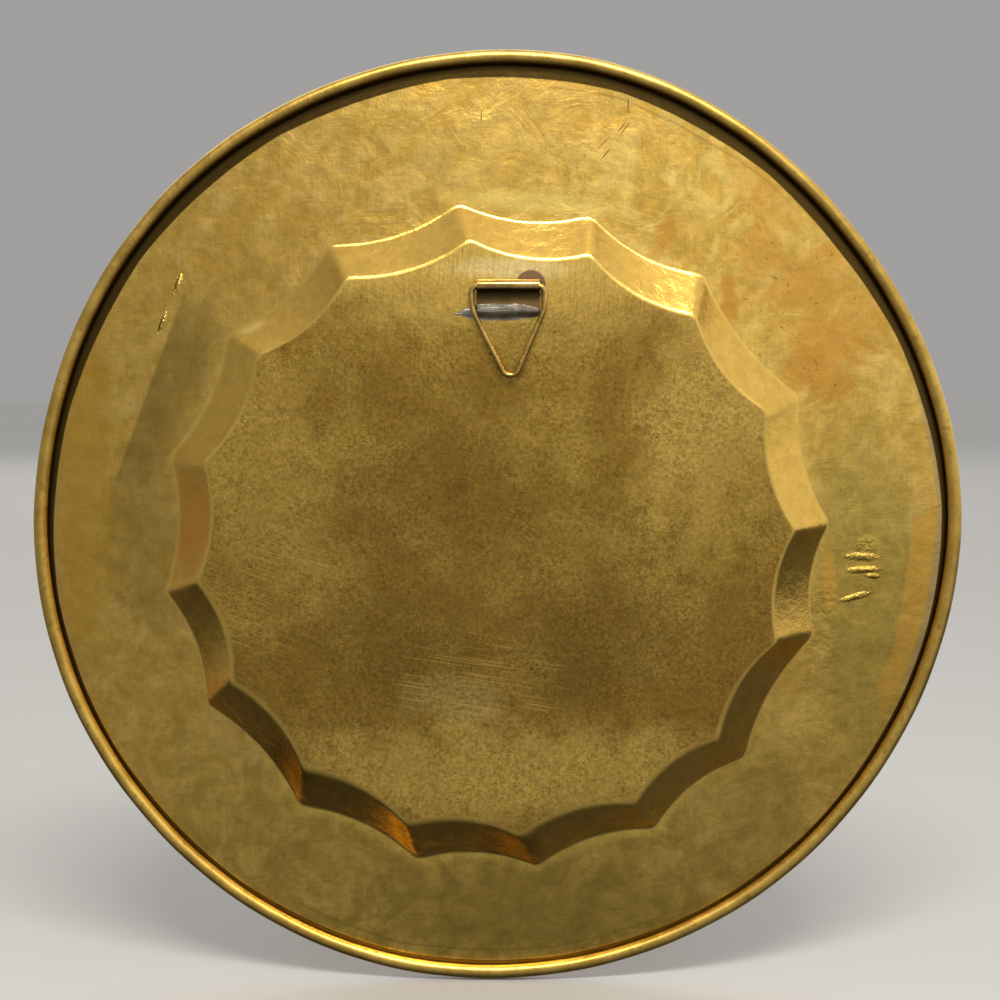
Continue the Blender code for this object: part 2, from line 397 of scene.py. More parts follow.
# Marks on the plate's back. A row gives across and up from the rim's middle, half the width and
# half the height in millimetres, the tilt in degrees, then raggedness, softness and strength.
ORANGE_STAINS = (
    (45, 78, 2.6, 8.5, -25, 0.9, 0.5, 0.55), (63, 63, 2.4, 6.5, 8, 1.2, 0.34, 0.75),
    (71, 72, 5.5, 10, -12, 1.2, 0.34, 0.5), (83, 66, 12, 7, 20, 1.2, 0.34, 0.5),
    (87, 46, 12, 11, 0, 1.2, 0.34, 0.65), (98, 60, 6, 15, 40, 1.2, 0.34, 0.4),
    (72, 88, 7, 12, 45, 1.2, 0.34, 0.3))
BROWN_STAINS = (
    (-93, -8, 12, 20, 0, 1.0, 0.5, 0.5), (14, -108, 46, 13, 0, 1.0, 0.5, 0.5),
    (76, -82, 12, 18, 35, 1.0, 0.5, 0.3))
NICKS = [(across, up, half_long, 0.15, tilt, 0, 0.5, 1.0) for across, up, half_long, tilt in (
    (36.0, 113.1, 1.9, 88), (34.2, 107.1, 1.7, 52), (35.1, 106.7, 2.1, 53),
    (29.4, 102.9, 2.2, 47), (29.9, 99.8, 1.9, 50), (-3.5, 110, 1.5, 86))]
WELL_WARM = (
    (4, 70, 54, 15, 0, 0.8, 0.7, 0.85), (-62, 24, 15, 34, 12, 1.0, 0.6, 0.35),
    (58, 30, 17, 34, -12, 1.0, 0.6, 0.5), (0, -67, 56, 13, 0, 1.0, 0.6, 0.55))
WELL_DIM = (
    (25, -32, 24, 15, 15, 1.0, 0.6, 0.55), (-18, 8, 22, 16, 20, 1.0, 0.6, 0.35),
    (-24, -34, 20, 15, 0, 1.0, 0.6, 0.5), (-8, 11, 3.4, 1.8, 0, 0.4, 0.5, 0.7))
# Painted highlight along the well's upper edge, then a faint rubbed patch low down
WELL_HIGHLIGHT_AND_RUBBING = (
    (5, 68.6, 14, 2.6, 0, 0.7, 0.6, 1.0), (-10, -46, 13, 6, -9, 0.8, 0.5, 0.16))
# Painted shade on the lower walls, strongest at two corners where they would glow orange
LOW_WALL_SHADE = (
    (-18, -80, 62, 24, -8, 0.4, 0.45, 0.4), (5, -89, 10, 8, 0, 0.3, 0.45, 0.85),
    (-56, -66, 9, 8, 0, 0.3, 0.45, 0.85))

# Glints where the flange is bruised: across, up, half length, half height and tilt
GLINTS = ((100.1, -8.6, 3.2, 0.75, -4), (100.4, -12.2, 3.2, 0.6, 2), (103.2, -13.9, 1.4, 0.5, -8),
          (98.3, -19.6, 2.8, 0.6, 14), (-85.8, 65.3, 1.8, 0.5, 69), (-90.3, 54.5, 2.0, 0.4, 69))


def flange_finish(web, smears, clouds, spots, ragged):
    """Golden, smeared and mottled, with orange stains at the upper right and olive below."""
    reach = web.own("reach")
    color = web.blend(web.rise(smears, 0.40, 0.60), FLANGE_TAN, FLANGE_GOLD)
    color = web.blend(web.rise(clouds, 0.46, 0.66) * 0.6, color, FLANGE_CLOUD)
    paler = web.patch(44, 86, 26, 22, 20, ragged, 0.6) * web.rise(smears, 0.42, 0.60)
    color = web.blend(paler * 0.6, color, PALE_GOLD)

    low = web.patch(0, -125, 165, 62, 0, ragged * 0.5, 0.5)
    color = web.blend(low * 0.75, color, LOW_GOLD)
    color = web.brighten(color, 1 + (web.rise(smears, 0.35, 0.65) - 0.5) * 0.24 * low)
    olive = web.patch(103, -20, 15, 48, 6, ragged * 0.45, 0.3)
    color = web.blend(olive * 0.8, color, OLIVE_STAIN)
    mottle = web.rise(spots, 0.54, 0.70)
    color = web.blend(mottle * 0.30, color, OLIVE)
    # Painted highlight along the star's foot on the lower flange
    lowest = web.patch(0, -90, 80, 30, 0, ragged * 0.4)
    foot_highlight = web.rise(reach + (spots - 0.5) * 4, 95, 91.5) * lowest
    color = web.blend(foot_highlight * 0.8, color, FOOT_HIGHLIGHT_GOLD)

    hatch = web.streaks(9, 0.30, 88, 1) + web.streaks(8, 0.30, 3, 1)
    marbled = web.grain(4.2, 4, 0.70, None, 0.5)
    color = web.brighten(color, 0.57 + 0.28 * hatch + 0.26 * web.rise(marbled, 0.32, 0.68))
    turned = web.rise(abs(reach - 119.3 + (clouds - 0.5) * 1.4), 0.42, 0.10)
    turned = turned * (web.patch(48, 108, 42, 16, -24) + web.patch(-8, -116, 70, 14, 0))
    color = web.blend(turned * 0.45, color, DULL_BROWN)

    orange = web.marks(ORANGE_STAINS, ragged) * (0.7 + 0.5 * marbled)
    color = web.blend(orange, color, RUST_ORANGE)

    # The stripe inside the right of the rim, with a sharp inner edge, and beyond it, right and left,
    # a grey band of painted shade at the soft edge of the rim's shadow
    _, up = web.aside(0, 0, 0)
    stripe = web.patch(113, -22, 11, 60, 6, ragged * 0.1, 0.12)
    inner_edge = 114.8 + 3.9 * web.rise(up, 1.8, 3.0)
    inner = web.rise(reach - inner_edge + (spots - 0.5) * 2.2, -0.3, 0.4)
    outer = web.rise(reach + (clouds - 0.5) * 3, 121.2, 119.8)
    color = web.blend(stripe * inner * outer * 0.62, color, TAN_ORANGE)
    beyond = web.patch(121, -8, 9, 62, 0) + web.patch(-121, -5, 9, 75, 0) * 0.6
    beyond = beyond * web.rise(reach, 120.2, 121.2)
    color = web.blend(beyond * 0.6, color, PENUMBRA_GREY)

    # The left: an orange band along the rim, then brown from a straight edge inwards
    left_band = web.patch(-113, 18, 8, 60, 0, ragged * 0.5, 0.4)
    color = web.blend(left_band * 0.6, color, BAND_ORANGE)
    if web.touches(-84, 25, 75):
        right_of, along = web.aside(-93, 40, -21)
        shade = web.rise(right_of, -0.5, 0.7) * web.rise(right_of + (clouds - 0.5) * 14, 19, 6)
        shade = shade * web.rise(along + (spots - 0.5) * 8, 32, 12) * web.rise(along, -52, -16)
        color = web.blend(shade * (1.05 - 0.6 * marbled), color, SHADE_BROWN)
    color = web.blend(web.marks(BROWN_STAINS, ragged), color, STAIN_BROWN)

    specks = web.rise(web.grain(1.1, 1, 0.5), 0.70, 0.73)
    speckled = web.patch(82, 60, 22, 26, 0, ragged) + web.patch(0, 106, 70, 12, 0, ragged) * 0.6
    speckled = speckled + web.patch(104, 2, 14, 30, 0, ragged) * 0.6
    color = web.blend(specks * speckled * 0.75, color, DULL_BROWN)

    color = web.blend(web.marks(NICKS, ragged) * 0.85, color, DARK_BROWN)
    foot_stain = web.patch(91.2, -15.1, 1.9, 9, 4, ragged * 0.2, 0.3) * 0.6
    color = web.blend(foot_stain, color, TAN_ORANGE)
    # Painted highlight on the flange along the star's top edge
    crest = web.patch(9.6, 87.0, 18, 2.4, -4, ragged * 0.6, 0.6) * 0.7
    color = web.blend(crest, color, CREST_HIGHLIGHT_GOLD)

    # Painted shadow of the rolled edge on the flange: a wide band at the top, a line at the foot
    width = 0.2 + 2.0 * web.rise(up, -70, 105)
    rim_shadow = web.rise(reach + width + (marbled - 0.5) * 0.3, 122.75, 123.05)
    return web.blend(rim_shadow, color, RIM_SHADOW_BROWN)


def well_finish(web, clouds, spots, fine, ragged):
    """Dull olive brown, finely speckled, more golden near its upper edge, with a painted highlight
    along it.
    """
    color = web.blend(web.rise(clouds, 0.36, 0.64), WELL_DARK, WELL_LIGHT)
    color = web.blend(web.rise(spots, 0.38, 0.70) * 0.5, color, WELL_SPOT)
    color = web.blend(web.marks(WELL_WARM, ragged), color, WELL_GOLD)
    color = web.blend(web.marks(WELL_DIM, ragged), color, WELL_SHADE)
    # Painted highlight along the well's upper edge, and a faint rubbed patch
    color = web.blend(web.marks(WELL_HIGHLIGHT_AND_RUBBING, ragged), color, HIGHLIGHT_AND_RUBBED_GOLD)
    speckled = web.rise(spots + clouds, 0.7, 1.2)
    _, up = web.aside(0, 0, 0)
    calm = web.rise(up, 40, 70)
    contrast = (1.05 + 1.2 * speckled) * (1 - 0.6 * calm)
    brushed = (web.streaks(7, 0.45, 88) - 0.5) * calm * 0.9
    return web.brighten(color, 1 + (fine - 0.5) * contrast + brushed)


def wall_finish(web, spots, ragged, worn):
    """Brighter brass, rusty on one wall at the left, with a painted highlight at a corner and painted
    shade on the lower walls.
    """
    color = web.blend(web.rise(spots, 0.45, 0.7) * 0.4, BRASS, WORN_BRASS)
    color = web.brighten(color, 0.66 + 0.62 * worn)
    stain = web.patch(-83, 2, 9, 13, 0, ragged * 0.4) * 0.8
    color = web.blend(stain, color, RUST_ORANGE)
    # Painted highlight at a corner of the star on the left
    corner_highlight = web.patch(-65.5, 53.5, 3.4, 1.7, 20, ragged * 0.4) * 0.8
    color = web.blend(corner_highlight, color, CORNER_HIGHLIGHT_GOLD)
    # Painted shade on the lower walls
    return web.blend(web.marks(LOW_WALL_SHADE, ragged), color, WALL_SHADE_BROWN)


def flange_relief(web, smears, fine, ragged):
    """Smears, glints where the metal is bruised, and creases at the star's foot."""
    glints = web.patch(101.2, -5.7, 2.6, 2.4, 0, ragged * 0.5) * web.grain(0.9, 1, 0.6) * 0.7
    for across, up, half_long, half_high, tilt in GLINTS:
        glint = web.patch(across, up, half_long, half_high, tilt, (fine - 0.5) * 1.6, 0.8)
        glints = glints + glint * 0.8
    creased = web.patch(89, -28, 5, 15, 0, ragged * 0.5)
    creased = creased + web.patch(87, -58, 9, 6, 0, ragged * 0.5) * 0.6
    creased = creased + web.patch(68, 74, 14, 16, 0, ragged) * 0.35
    return smears * 1.8 + glints * 6.0 + creased * web.grain(2.4, 2, 0.5) * 3.2


def back_brass(part, sector=None):
    """Aged brass of the plate's back. The walls' kind passes over into the other two at its edges."""
    place = "" if sector is None else f" {sector + 1}"
    web = Finish(f"aged brass, {part}{place}", 1.0, sector)
    clouds = web.grain(24, 4, 0.55)
    spots = web.grain(7, 4, 0.6)
    smears = web.grain(13, 4, 0.62, None, 1.4)
    fine = web.grain(0.85, 2, 0.85)
    ragged = (spots - 0.5) * 1.6 + (smears - 0.5) * 1.2
    rough = 0.25 + 0.10 * (spots - 0.5)
    relief = spots * 0.9
    if part == "flange":
        color = flange_finish(web, smears, clouds, spots, ragged)
        relief = relief + spots * 0.8 + flange_relief(web, smears, fine, ragged)
    else:
        color = well_finish(web, clouds, spots, fine, ragged)
        # The flat round mark beside the knuckle
        mark = web.patch(9.8, 64.3, 3.95, 3.95, 0, None, 0.06)
        color = web.blend(mark * 0.9, color, MAUVE)
        well = web.own("well") if part == "walls" else 1.0
        rough = rough + 0.17 * well + 0.25 * mark + 0.07 * (fine - 0.5) * well
        relief = relief + fine * 0.42 * well
    if part == "walls":
        wall = web.own("wall")
        line = web.own("edge_highlight")
        worn = web.grain(3.2, 5, 0.70, None, 0.6)
        color = web.blend(well, flange_finish(web, smears, clouds, spots, ragged), color)
        color = web.blend(wall, color, wall_finish(web, spots, ragged, worn))
        # Painted highlights along the star's rounded edges
        color = web.blend(line * 0.35, color, EDGE_HIGHLIGHT_GOLD)
        flange = 1 - web.smaller(well + wall, 1.0)
        rough = rough - 0.02 * wall + line * (clouds - 0.56) * 0.5
        relief = relief + worn * wall * 1.3
        relief = relief + (spots * 0.8 + flange_relief(web, smears, fine, ragged)) * flange
    if part != "flange":
        # Scratches: two bundles that run down to the right
        scratch = web.rise(web.streaks(15, 0.30, -19, 0.8), 0.57, 0.67)
        bundle = web.patch(-60, -12, 16, 26, -19, ragged * 0.6)
        scratch_low = web.rise(web.streaks(18, 0.34, -9, 0.5), 0.57, 0.66)
        bundle_low = web.patch(-4, -42, 21, 13, -9, ragged * 0.4, 0.3)
        scratches = scratch * bundle * 0.75 + scratch_low * bundle_low * 0.85
        color = web.blend(scratches * 0.6, color, PALE_TAN)
        rough = rough - 0.10 * scratches
    return web.surface(color, rough, relief, 0.10, 1.0)


def bead_brass():
    """Polished brass of the rolled rim, with brown patina and, beside the flange, painted shade."""
    web = Finish("rim brass")
    clouds = web.grain(9, 4, 0.6)
    spots = web.grain(1.6, 3, 0.6)
    rim_shade = web.own("rim_shade")
    color = web.blend(web.rise(clouds, 0.35, 0.65), BEAD_BROWN, BEAD_GOLD)
    color = web.blend(web.rise(spots, 0.56, 0.70) * 0.6, color, DULL_BROWN)
    # Painted shade on the rim's inner side, deepest at the top
    color = web.blend(rim_shade, color, RIM_SHADOW_BROWN)
    return web.surface(color, 0.28 + 0.16 * clouds, clouds + spots * 0.5, 0.10, 0.6)


# Enamel of the front

BLUE = (0.012, 0.035, 0.19)
GREEN = (0.010, 0.13, 0.055)
RED = (0.33, 0.012, 0.010)
CREAM = (0.70, 0.62, 0.42)


def enamelled_front():
    """Bands and petals of enamel between lines of brass, in step with the star."""
    web = Finish("enamelled front", 0.0)
    reach = web.own("reach")
    petal = web.own("petal")
    wave = web.own("turn_wave")
    turn = web.rise(wave, -0.02, 0.02)
    clouds = web.grain(20, 3, 0.5)
    spots = web.grain(2.2, 3, 0.6)

    def band(low, high, soft=0.12):
        return web.rise(reach, low - soft, low + soft) * web.rise(reach, high + soft, high - soft)

    def leaf(low, high, half, line):
        """Inside and brass outline of a leaf that points outwards from low to high."""
        middle = (low + high) / 2
        along = (reach - middle) / ((high - low) / 2)
        width = (1 - along * along) * half
        gap = width - petal
        inside = web.rise(gap, line, line + 0.02)
        whole = web.rise(gap, 0.0, 0.02)
        return inside, whole

    # The flange: red and green leaves on blue
    inside, whole = leaf(95, 119, 0.80, 0.10)
    vein = web.rise(petal, 0.045, 0.025)
    flange = web.blend(turn, RED, GREEN)
    color = web.blend(inside, BLUE, flange)
    brass_share = (whole - inside) + inside * vein * band(98, 115)
    between = web.rise(petal, 0.80, 0.84) * band(112, 117.5)
    color = web.blend(between, color, CREAM)
    enamel = band(93.5, 120)

    # The outer band of the well: small cream scallops on green
    small = abs(petal - 0.5)
    crest = web.rise(small * 8 + reach, 76.2, 76.5)
    crest_line = web.rise(abs(small * 8 + reach - 76.0), 0.45, 0.30)
    band_color = web.blend(crest, CREAM, GREEN)
    outer = band(70, 78.2)
    color = web.blend(outer, color, band_color)
    brass_share = brass_share + crest_line * outer
    enamel = enamel + outer

    # The rosette: sixteen long petals around a small flower
    inside, whole = leaf(22, 68, 0.86, 0.12)
    heart_in, heart = leaf(30, 56, 0.42, 0.09)
    petals = web.blend(turn, GREEN, RED)
    middle = band(19, 68.6)
    rosette = web.blend(inside, BLUE, petals)
    rosette = web.blend(heart_in, rosette, CREAM)
    color = web.blend(middle, color, rosette)
    brass_share = brass_share + ((whole - inside) + (heart - heart_in)) * middle
    enamel = enamel + middle
    flower_edge = 15.0 - petal * 4.5
    flower = web.rise(flower_edge - reach, 0.0, 0.2)
    flower_in = web.rise(flower_edge - reach, 0.9, 1.1)
    core = band(-1, 17.6)
    color = web.blend(core, color, web.blend(flower_in, BLUE, RED))
    brass_share = brass_share + (flower - flower_in) * core + web.rise(reach, 5.2, 5.0)
    enamel = enamel + core

    worn = web.rise(web.grain(1.3, 4, 0.65), 0.66, 0.72) * web.rise(clouds, 0.48, 0.62)
    enamel = web.smaller(enamel, 1.0) * (1 - web.smaller(brass_share, 1.0)) * (1 - worn)
    brass = web.blend(web.rise(clouds, 0.35, 0.65), WORN_BRASS, BRASS)
    brass = web.blend(web.rise(spots, 0.58, 0.72) * 0.5, brass, DULL_BROWN)
    color = web.brighten(color, 0.8 + 0.4 * clouds)
    color = web.blend(enamel, brass, color)
    rough = 0.27 + 0.08 * spots - 0.14 * enamel
    web.set("Metallic", 1 - enamel)
    return web.surface(color, rough, enamel + spots * 0.15, 0.06, 0.7)


# Colours of the strap, the wire and the solder
STRAP_DARK = (0.40, 0.25, 0.075)
STRAP_LIGHT = (0.66, 0.43, 0.13)
LEAF_BROWN = (0.20, 0.12, 0.045)
SHADE_AND_GRIME_BLACK = (0.035, 0.022, 0.008)
WIRE_DARK = (0.50, 0.32, 0.08)
WIRE_LIGHT = (0.78, 0.52, 0.15)
SOLDER_DARK = (0.24, 0.205, 0.145)
SOLDER_GREY = (0.40, 0.355, 0.28)
SOLDER_BRIGHT = (0.60, 0.56, 0.52)


def strap_brass():
    """Dark tarnished strip with a browner leaf, and painted shade with some grime under its knuckle.
    """
    web = Finish("strap brass")
    clouds = web.grain(5, 4, 0.6)
    streaks = web.streaks(7, 0.25, 0)
    color = web.blend(web.rise(clouds, 0.35, 0.65), STRAP_DARK, STRAP_LIGHT)
    color = web.blend(web.rise(streaks, 0.55, 0.7) * 0.4, color, DULL_BROWN)
    leaf = web.own("leaf")
    color = web.blend(leaf * 0.75, color, LEAF_BROWN)
    parts = web.node("ShaderNodeSeparateXYZ", None, {0: web.place})
    up = Term(web, parts.outputs["Z"])
    # Painted shade under the knuckle, with some grime
    knuckle_shade_and_grime = web.rise(up, -0.35, -0.9) * web.rise(up, -5.0, -2.0)
    color = web.blend(knuckle_shade_and_grime * 0.9, color, SHADE_AND_GRIME_BLACK)
    return web.surface(color, 0.16 + 0.10 * clouds + 0.2 * leaf, streaks + clouds, 0.03, 0.5)


def wire_brass():
    """Drawn wire, brown where nothing rubs it."""
    web = Finish("ring wire")
    clouds = web.grain(3.5, 4, 0.6)
    spots = web.grain(0.8, 3, 0.6)
    color = web.blend(web.rise(clouds, 0.38, 0.62), WIRE_DARK, WIRE_LIGHT)
    color = web.blend(web.rise(spots, 0.58, 0.74) * 0.5, color, DARK_BROWN)
    return web.surface(color, 0.13 + 0.14 * clouds, spots, 0.03, 0.5)


def soft_solder():
    """Dull grey solder with brighter smears along it."""
    web = Finish("soft solder")
    clouds = web.grain(3, 4, 0.6)
    smear = web.rise(web.streaks(6, 0.45, -3, 3), 0.48, 0.66)
    color = web.blend(web.rise(clouds, 0.35, 0.65), SOLDER_DARK, SOLDER_GREY)
    color = web.blend(smear * 0.45, color, SOLDER_BRIGHT)
    return web.surface(color, 0.44 - 0.12 * smear, clouds + smear * 0.4, 0.08, 0.7)


# Plate

def direction(degrees):
    """Unit vector clockwise from the top, seen from the back, as plate x and z."""
    turn = math.radians(degrees)
    return Vector((-math.sin(turn), math.cos(turn)))


def star(radius, point_degrees):
    """Outline of the star at a radius, its points a little softened."""
    outline = []
    count = len(point_degrees)
    for index, degrees in enumerate(point_degrees):
        turn_on = 360 if index == count - 1 else 0
        here = direction(degrees) * radius
        there = direction(point_degrees[(index + 1) % count] + turn_on) * radius
        inward = -(here + there).normalized()
        for step in range(STEPS_A_SCALLOP):
            share = step / STEPS_A_SCALLOP
            sink = 4 * share * (1 - share) * SCALLOP_DEPTH
            outline.append(here.lerp(there, share) + inward * sink)
    for _ in range(POINT_SOFTENING):
        before = outline[-1:] + outline[:-1]
        after = outline[1:] + outline[:1]
        outline = [(a + b * 2 + c) / 4 for a, b, c in zip(before, outline, after)]
    return outline


def rim_point(radius, guide):
    """Point of the rim, around the plate's own centre, in line with a point of the star."""
    turn = math.atan2(-guide.x, guide.y)
    wave = 0.0
    for count, height, crest in RIM_WAVES:
        wave += height * math.cos(count * (turn - math.radians(crest)))
    ease = 0.0
    if radius > FOOT_RADIUS:
        ease = RIM_EASE * (1 + 0.5 * math.sin(turn * 23) * math.sin(turn * 9))
    return direction(math.degrees(turn)) * (radius + wave - ease) + Vector((0, WELL_OFF_CENTRE))


def plate_point(edge, foot, radius):
    """Where the sheet's profile stands at one radius, on the way through two star points."""
    star_end = FOOT_RADIUS + FOOT_FILLET
    round_start = ROLL_CENTRE_RADIUS - RIM_ROLL_RADIUS
    if radius <= WELL_RADIUS:
        return edge * (radius / WELL_RADIUS)
    if radius <= FOOT_RADIUS:
        return edge.lerp(foot, (radius - WELL_RADIUS) / WALL_RUN)
    on_star = foot * (radius / FOOT_RADIUS)
    if radius <= star_end:
        return on_star
    on_rim = rim_point(radius, foot)
    if radius >= round_start:
        return on_rim
    return on_star.lerp(on_rim, (radius - star_end) / (round_start - star_end))


def fillet(before, corner, after, radius, steps):
    """Points of an arc that rounds a corner of a flat outline."""
    to_before = (before - corner).normalized()
    to_after = (after - corner).normalized()
    half = to_before.angle(to_after) / 2
    reach = radius / math.tan(half)
    middle = corner + (to_before + to_after).normalized() * (radius / math.sin(half))
    start = corner + to_before * reach - middle
    end = corner + to_after * reach - middle
    sweep = start.angle(end)
    points = []
    for step in range(steps + 1):
        share = step / steps
        weight_start = math.sin((1 - share) * sweep) / math.sin(sweep)
        weight_end = math.sin(share * sweep) / math.sin(sweep)
        points.append(middle + start * weight_start + end * weight_end)
    return points


def offset_corner(before, corner, after, distance):
    """A corner of the profile moved to the sheet's front."""
    normal_in = (corner - before).normalized()
    normal_out = (after - corner).normalized()
    down_in = Vector((normal_in.y, -normal_in.x))
    down_out = Vector((normal_out.y, -normal_out.x))
    split = (down_in + down_out).normalized()
    return corner + split * (distance / split.dot(down_in))


def between(start, end, steps):
    """Points on the straight from start to end, without its ends."""
    return [start.lerp(end, step / (steps + 1)) for step in range(1, steps + 1)]


def rolled_rim(front_height, steps):
    """The rolled edge, from where the flange's back meets it, over its top to its front."""
    meet = math.acos((RIM_ROLL_RADIUS - SHEET) / RIM_ROLL_RADIUS)
    points = []
    for step in range(steps + 1):
        turn = meet + (2 * math.pi - meet) * step / steps
        across = ROLL_CENTRE_RADIUS - RIM_ROLL_RADIUS * math.sin(turn)
        height = front_height + RIM_ROLL_RADIUS * (1 - math.cos(turn))
        points.append(Vector((across, height)))
    return points


def sheet_profile(edge_fillet, foot_fillet, foot_height=0.0):
    """The sheet's section from the middle of its back, round the rim, to its front's middle.

    Each point comes with the name of the stretch that it belongs to."""
    edge = Vector((WELL_RADIUS, WELL_DEPTH))
    foot = Vector((FOOT_RADIUS, foot_height))
    end = Vector((ROLL_CENTRE_RADIUS, -FLANGE_DROP))
    centre = Vector((0.0, WELL_DEPTH))
    beyond = end + (end - foot)
    front_edge = offset_corner(centre, edge, foot, SHEET)
    front_foot = offset_corner(edge, foot, end, SHEET)
    front_end = offset_corner(foot, end, beyond, SHEET)
    front_centre = Vector((0.0, front_edge.y))
    back_edge = fillet(centre, edge, foot, edge_fillet, 8)
    back_foot = fillet(edge, foot, end, foot_fillet, 8)
    roll = rolled_rim(front_end.y, 26)
    under_foot = fillet(front_end, front_foot, front_edge, foot_fillet + SHEET, 6)
    under_edge = fillet(front_foot, front_edge, front_centre, EDGE_FILLET, 6)
    stretches = [
        ("well", [centre] + between(centre, back_edge[0], 20)),
        ("edge", back_edge),
        ("wall", between(back_edge[-1], back_foot[0], 5)),
        ("foot", back_foot),
        ("flange", between(back_foot[-1], roll[0], 26)),
        ("rim", roll),
        ("front", between(roll[-1], under_foot[0], 16)),
        ("front", under_foot + between(under_foot[-1], under_edge[0], 3) + under_edge),
        ("front", between(under_edge[-1], front_centre, 18) + [front_centre]),
    ]
    return [(name, point) for name, points in stretches for point in points]


def dent(across, up, reach):
    """How far the thin sheet strays from its true shape at a place."""
    place = Vector((across, 0, up)) / MM
    slow = noise.noise(place / 31) + 0.5 * noise.noise(place / 13 + Vector((5, 0, 0)))
    quick = noise.noise(place / 6.5 + Vector((0, 9, 0)))
    on_flange = smooth_step(FOOT_RADIUS + 3 * MM, FOOT_RADIUS + 9 * MM, reach)
    on_flange *= smooth_step(ROLL_CENTRE_RADIUS - 2.5 * MM, ROLL_CENTRE_RADIUS - 7 * MM, reach)
    on_well = smooth_step(WELL_RADIUS - 4 * MM, WELL_RADIUS - 14 * MM, reach)
    from_hanger = (Vector((across, up)) - Vector((0, -4 * MM))).length
    on_well *= smooth_step(15 * MM, 30 * MM, from_hanger)
    return FLANGE_DENT * on_flange * (slow + 0.35 * quick) + WELL_DENT * on_well * (slow - 0.6)


def make_plate():
    """A closed tube of rows and columns, drawn onto the sheet's section all round the star."""
    sample = sheet_profile(EDGE_FILLET, FOOT_FILLET)
    rows = len(sample)
    names = [name for name, _ in sample]
    nothing_selected()
    bpy.ops.mesh.primitive_cylinder_add(vertices=COLUMNS, radius=1, depth=1,
                                        end_fill_type="TRIFAN", location=(0, 0, 0))
    obj = bpy.context.object
    obj.name = "pressed_sheet"
    bpy.ops.object.mode_set(mode="EDIT")
    bpy.ops.mesh.select_all(action="DESELECT")
    mesh = bmesh.from_edit_mesh(obj.data)
    mesh.select_mode = {"EDGE"}
    for edge in mesh.edges:
        low, high = edge.verts
        edge.select_set(abs(low.co.z - high.co.z) > 0.5)
    bmesh.update_edit_mesh(obj.data)
    # The tube's two ends are the middles of the back and the front, so they count as rows.
    bpy.ops.mesh.subdivide_edgering(number_cuts=rows - 4, interpolation="LINEAR", smoothness=0)
    bpy.ops.object.mode_set(mode="OBJECT")

    edge_star = star(WELL_RADIUS, EDGE_POINTS_DEG)
    foot_star = star(FOOT_RADIUS, FOOT_POINTS_DEG)
    profiles = []
    for guide in foot_star:
        turn = math.degrees(math.atan2(-guide.x, guide.y))
        soft_edge = smooth_step(85, 55, apart(turn, SOFT_EDGE_DEG))
        edge_fillet = EDGE_FILLET + (SOFT_EDGE_FILLET - EDGE_FILLET) * soft_edge
        soft_foot = smooth_step(48, 14, apart(turn, SOFT_FOOT_DEG))
        foot_fillet = FOOT_FILLET + (SOFT_FOOT_FILLET - FOOT_FILLET) * soft_foot
        # The flange is one cone, so the star's foot stands higher where a scallop cuts in.
        cut_in = FOOT_RADIUS - guide.length
        run = rim_point(ROLL_CENTRE_RADIUS, guide).length - FOOT_RADIUS
        profiles.append(sheet_profile(edge_fillet, foot_fillet, FLANGE_DROP * cut_in / run))

    own_numbers = ("well", "wall", "rim_shade", "edge_highlight", "reach", "petal", "turn_wave")
    kept = {name: [] for name in own_numbers}
    stretch_of = []
    for vertex in obj.data.vertices:
        x, y, z = vertex.co
        middle = math.hypot(x, y) < 0.5
        row = round((z + 0.5) * (rows - 3)) + 1
        if middle:
            row = 0 if z < 0 else rows - 1
        column = 0 if middle else round(math.atan2(y, x) / (2 * math.pi) * COLUMNS) % COLUMNS
        name, point = profiles[column][row]
        flat = plate_point(edge_star[column], foot_star[column], point.x)
        across, up = HANGER_SIDE + flat.x, STAR_Z + flat.y
        height = WELL_BACK - WELL_DEPTH + point.y + dent(across, up, point.x)
        vertex.co = (across, height, up)
        stretch_of.append(names[row])
        share = column / STEPS_A_SCALLOP
        past_edge = share_passed("edge", names, row)
        past_foot = share_passed("foot", names, row)
        kept["well"].append(1 - past_edge)
        kept["wall"].append(past_edge - past_foot)
        kept["rim_shade"].append(rim_shade_share(name, point, flat.y / PLATE_RADIUS))
        kept["edge_highlight"].append(edge_highlight_share(name, names, row))
        kept["reach"].append(point.x / MM)
        kept["petal"].append(abs((share % 1) - 0.5) * 2)
        kept["turn_wave"].append(math.sin(math.pi * share))
    for name, values in kept.items():
        layer = obj.data.attributes.new(name, "FLOAT", "POINT")
        layer.data.foreach_set("value", np.array(values, dtype=np.float32))

    only(obj)
    bpy.ops.object.mode_set(mode="EDIT")
    face_outwards()
    bpy.ops.object.mode_set(mode="OBJECT")
    give_finishes(obj, stretch_of)
    bpy.ops.object.shade_smooth_by_angle(angle=math.radians(SHEET_SMOOTH_DEG))
    return obj


